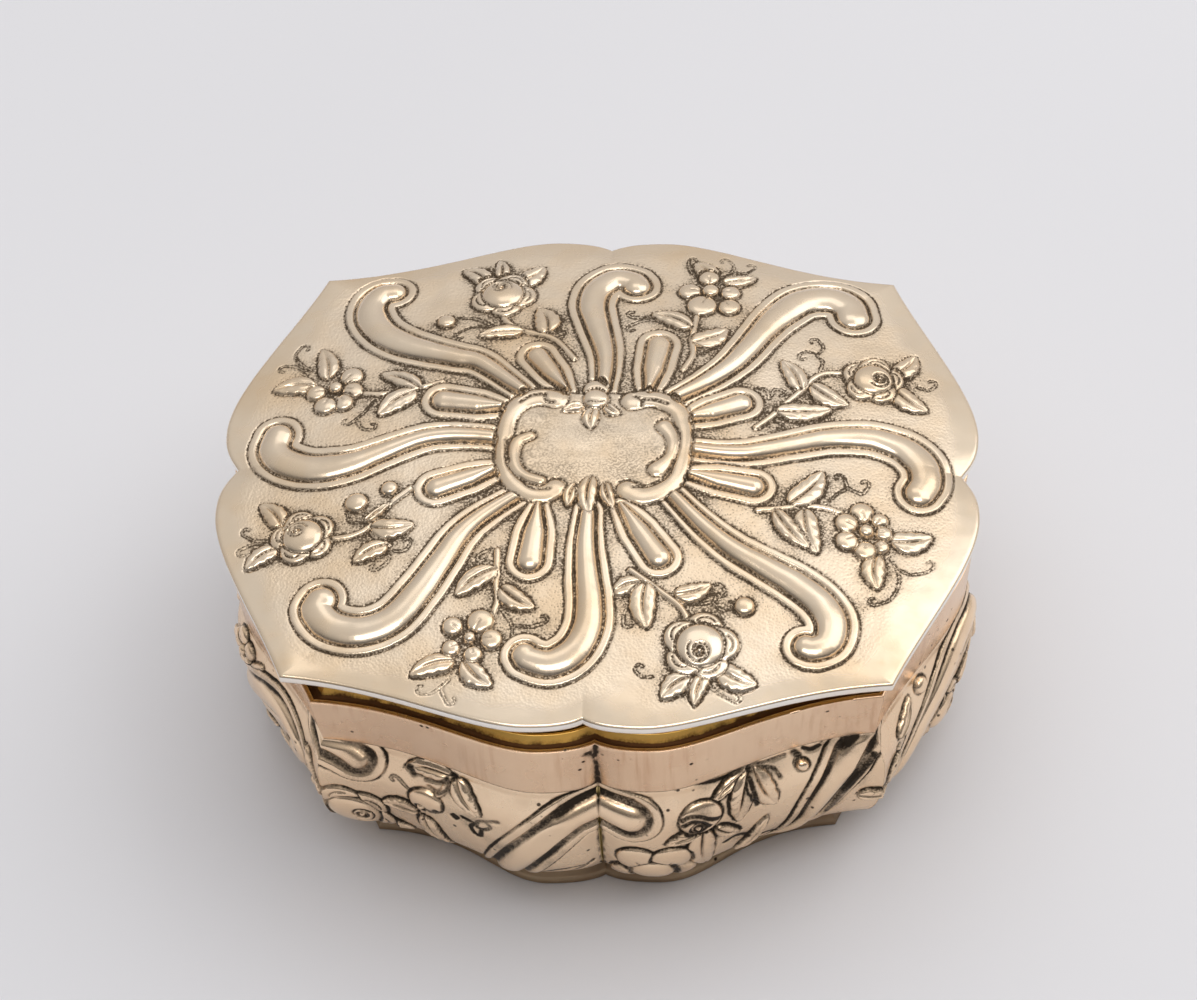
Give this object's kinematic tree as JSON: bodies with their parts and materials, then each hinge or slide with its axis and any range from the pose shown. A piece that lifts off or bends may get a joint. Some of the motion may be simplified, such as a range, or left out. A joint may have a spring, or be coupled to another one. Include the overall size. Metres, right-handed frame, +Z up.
{
  "type": "lidded box",
  "caption": "Shaped oval box of chased silver with a bombé case, a plain neck band, a low foot and a domed push-fit cover with a gilt bezel.",
  "frame": {"origin": "on the table under the middle of the foot", "axes": "+X to the right along the longer side, +Y to the back, +Z up"},
  "size_m": [0.1304, 0.1106, 0.0597],
  "materials": {
    "cover_silver": "chased silver, warm patina, polished high spots",
    "case_silver": "chased silver, pinkish patina, dark grooves",
    "gilt_lining": "gilt, satin"
  },
  "bodies": {
    "case": {"foot_ring": "case_silver", "base_plate": "gilt_lining", "body_wall": "case_silver", "collar": "case_silver", "rim_ledge": "gilt_lining"},
    "lid": {"lid_bezel": "gilt_lining", "lid_cover": "cover_silver", "lid_edge_wire": "cover_silver"}
  },
  "joints": [
    {"name": "lid_lift", "type": "slide", "parent": "case", "child": "lid", "axis": [0, 0, 1], "range_m": [-0.0056, 0.05]}
  ]
}
